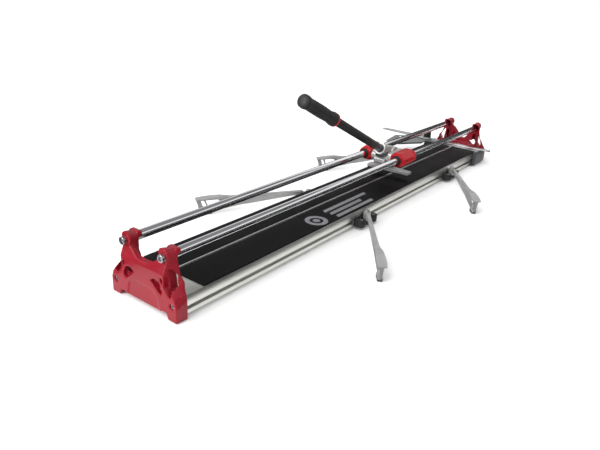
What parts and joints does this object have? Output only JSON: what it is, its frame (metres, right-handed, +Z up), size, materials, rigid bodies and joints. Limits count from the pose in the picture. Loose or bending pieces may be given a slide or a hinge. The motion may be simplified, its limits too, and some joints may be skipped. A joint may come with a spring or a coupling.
{
  "type": "manual tile cutter",
  "caption": "Long manual tile cutter: padded aluminium bed between two cast end supports, carriage with lever, scoring wheel and breaker on two guide bars, swivelling side arms, end fence.",
  "frame": {"origin": "on the floor below the middle of the bed, half way between the end supports' outer faces", "axes": "+X along the bed from the front support to the rear one (the fence end), +Y to the left, +Z up"},
  "size_m": [1.42, 0.5678, 0.3267],
  "materials": {
    "aluminium_bed": "brushed extrusion, satin",
    "rubber_pad": "matt black, fine grain",
    "rib_steel": "bright rolled edge",
    "red_casting": "glossy deep red paint",
    "red_slider": "glossy bright red",
    "chrome_bar": "hard chrome, polished",
    "bright_bolt": "zinc plated, bright",
    "black_rubber": "matt",
    "bush_plastic": "self-lubricating, dark grey",
    "cast_aluminium": "cast, satin",
    "bracket_black": "moulded black",
    "pin_steel": "ground",
    "tube_black": "satin black paint",
    "grip_black": "soft black grip",
    "ring_red": "red",
    "wheel_carbide": "ground carbide",
    "clamp_grey": "dark grey paint",
    "rail_aluminium": "anodised",
    "knob_black": "moulded black",
    "plate_grey": "satin grey"
  },
  "bodies": {
    "base": {"bed_profile": "aluminium_bed", "breaker_rib": "rib_steel", "right_pad": "rubber_pad", "left_pad": "rubber_pad", "front_support": "red_casting", "rear_support": "red_casting", "support_soles": "black_rubber", "bar_bolts": "bright_bolt", "side_screws": "bright_bolt", "right_guide_bar": "chrome_bar", "left_guide_bar": "chrome_bar", "bracket_screws": "bright_bolt", "t_nuts": "pin_steel", "arm_pins": "bright_bolt", "front_right_bracket": "bracket_black", "front_left_bracket": "bracket_black", "rear_right_bracket": "bracket_black", "rear_left_bracket": "bracket_black"},
    "carriage": {"right_slider": "red_slider", "left_slider": "red_slider", "slider_bushes": "bush_plastic", "bar_wipers": "black_rubber", "slider_set_screws": "bright_bolt", "carriage_bridge": "cast_aluminium", "bridge_bolts": "bright_bolt", "handle_pivot_pin": "pin_steel"},
    "handle": {"handle_head": "cast_aluminium", "handle_tube": "tube_black", "handle_lock_screw": "bright_bolt", "grip_ring": "ring_red", "handle_grip": "grip_black", "wheel_holder": "pin_steel", "holder_screw": "bright_bolt", "wheel_axle": "pin_steel"},
    "scoring_wheel": {"scoring_wheel": "wheel_carbide"},
    "breaker": {"breaker_foot": "cast_aluminium", "breaker_pin": "pin_steel", "breaker_pads": "black_rubber"},
    "fence": {"fence_rail": "rail_aluminium", "right_fence_clamp": "clamp_grey", "left_fence_clamp": "clamp_grey", "fence_screws": "bright_bolt", "mitre_stud": "pin_steel", "protractor_plate": "plate_grey"},
    "mitre_arm": {"mitre_arm": "cast_aluminium"},
    "mitre_knob": {"mitre_knob": "knob_black"},
    "fence_lock_knob": {"fence_lock_knob": "knob_black"},
    "front_right_arm": {"front_right_arm": "cast_aluminium", "front_right_arm_sole": "black_rubber"},
    "front_left_arm": {"front_left_arm": "cast_aluminium", "front_left_arm_sole": "black_rubber"},
    "rear_right_arm": {"rear_right_arm": "cast_aluminium", "rear_right_arm_sole": "black_rubber"},
    "rear_left_arm": {"rear_left_arm": "cast_aluminium", "rear_left_arm_sole": "black_rubber"}
  },
  "joints": [
    {"name": "carriage_slide", "type": "slide", "parent": "base", "child": "carriage", "axis": [1, 0, 0], "range_m": [-0.765, 0.445]},
    {"name": "handle_lift", "type": "hinge", "parent": "carriage", "child": "handle", "pos_m": [0.16, 0, 0.118], "axis": [0, 1, 0], "range_deg": [0, 42]},
    {"name": "wheel_spin", "type": "hinge", "parent": "handle", "child": "scoring_wheel", "pos_m": [0.19343, 0, 0.07817], "axis": [0, 1, 0], "continuous": true},
    {"name": "breaker_tilt", "type": "hinge", "parent": "handle", "child": "breaker", "pos_m": [0.1659, 0, 0.06704], "axis": [1, 0, 0], "range_deg": [-2.5, 2.5]},
    {"name": "front_right_arm_swing", "type": "hinge", "parent": "base", "child": "front_right_arm", "pos_m": [-0.106, -0.095, 0.026], "axis": [0, 0, 1], "range_deg": [-33, 63]},
    {"name": "front_left_arm_swing", "type": "hinge", "parent": "base", "child": "front_left_arm", "pos_m": [-0.091, 0.095, 0.026], "axis": [0, 0, -1], "range_deg": [-27.4, 68.6]},
    {"name": "rear_right_arm_swing", "type": "hinge", "parent": "base", "child": "rear_right_arm", "pos_m": [0.404, -0.095, 0.026], "axis": [0, 0, 1], "range_deg": [-32, 64]},
    {"name": "rear_left_arm_swing", "type": "hinge", "parent": "base", "child": "rear_left_arm", "pos_m": [0.423, 0.095, 0.026], "axis": [0, 0, -1], "range_deg": [-27.4, 68.6]},
    {"name": "fence_slide", "type": "slide", "parent": "base", "child": "fence", "axis": [1, 0, 0], "range_m": [-0.1, 0.003]},
    {"name": "mitre_swing", "type": "hinge", "parent": "fence", "child": "mitre_arm", "pos_m": [0.636, 0.105, 0.0555], "axis": [0, 0, 1], "range_deg": [0, 45]},
    {"name": "mitre_knob_turn", "type": "hinge", "parent": "fence", "child": "mitre_knob", "pos_m": [0.636, 0.105, 0.065], "axis": [0, 0, 1], "continuous": true},
    {"name": "fence_lock_turn", "type": "hinge", "parent": "fence", "child": "fence_lock_knob", "pos_m": [0.639, 0.1, 0.025], "axis": [0, 1, 0], "continuous": true}
  ]
}
